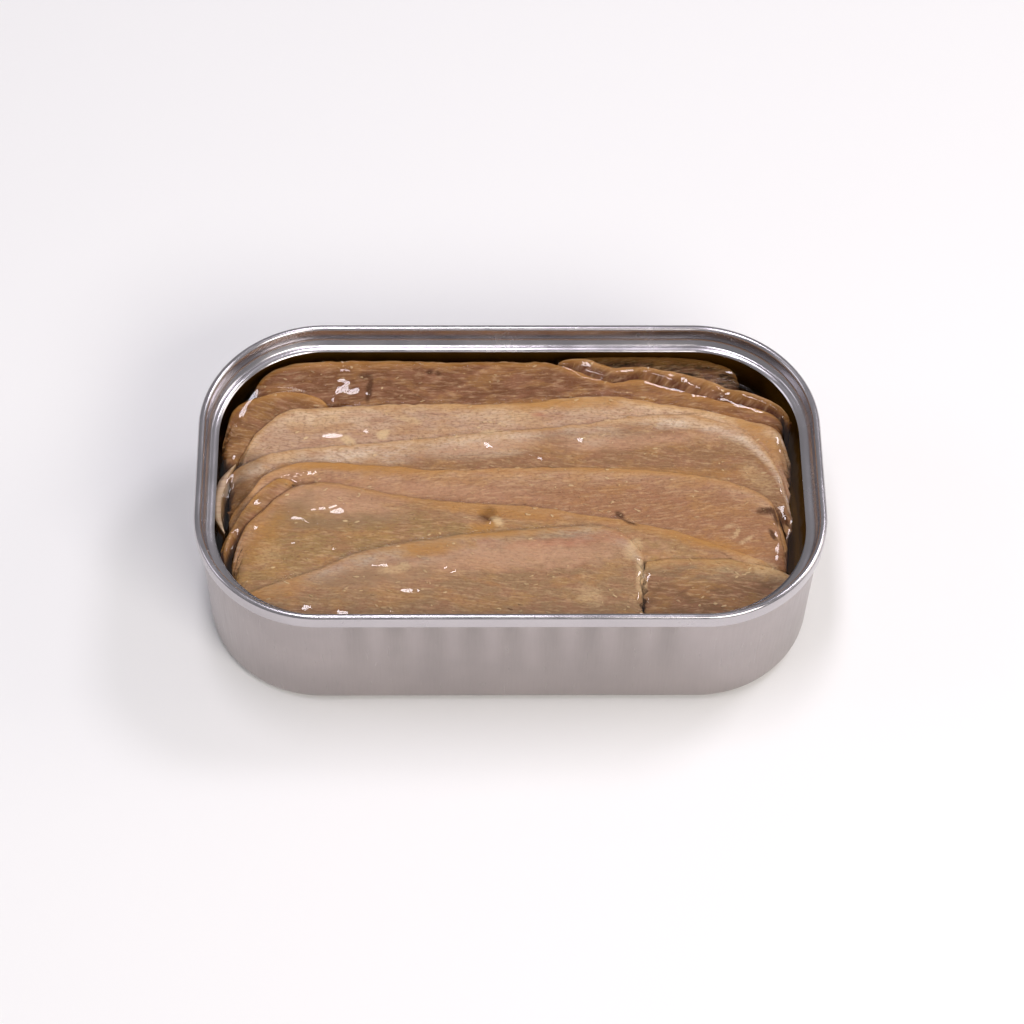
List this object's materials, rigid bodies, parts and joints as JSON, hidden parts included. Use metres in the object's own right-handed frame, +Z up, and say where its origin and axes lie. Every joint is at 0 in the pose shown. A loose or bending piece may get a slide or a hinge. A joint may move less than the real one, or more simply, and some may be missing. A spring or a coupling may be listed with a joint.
{
  "type": "open tin of tuna fillets",
  "caption": "Open rounded-corner aluminium tin with a double seam, filled with long tuna fillets lying in oil, the peel-off end removed.",
  "frame": {"origin": "centre of the base, on the surface the tin stands on", "axes": "+X along the tin, +Y across it, +Z up out of the open top"},
  "size_m": [0.105, 0.06, 0.028],
  "materials": {
    "tin": "satin drawn sheet",
    "tin_end": "bright rolled sheet",
    "fish": "moist, fibrous",
    "oil": "clear liquid"
  },
  "bodies": {
    "root": {"tin_body": "tin", "seam_ring": "tin_end", "fillet_front": "fish", "fillet_front_right": "fish", "fillet_fifth": "fish", "flake_left": "fish", "fillet_fourth": "fish", "fillet_third": "fish", "fillet_second": "fish", "fillet_corner_left": "fish", "fillet_back": "fish", "fillet_back_right": "fish", "fillet_sunk": "fish", "flap_left": "fish", "oil": "oil"}
  },
  "joints": []
}
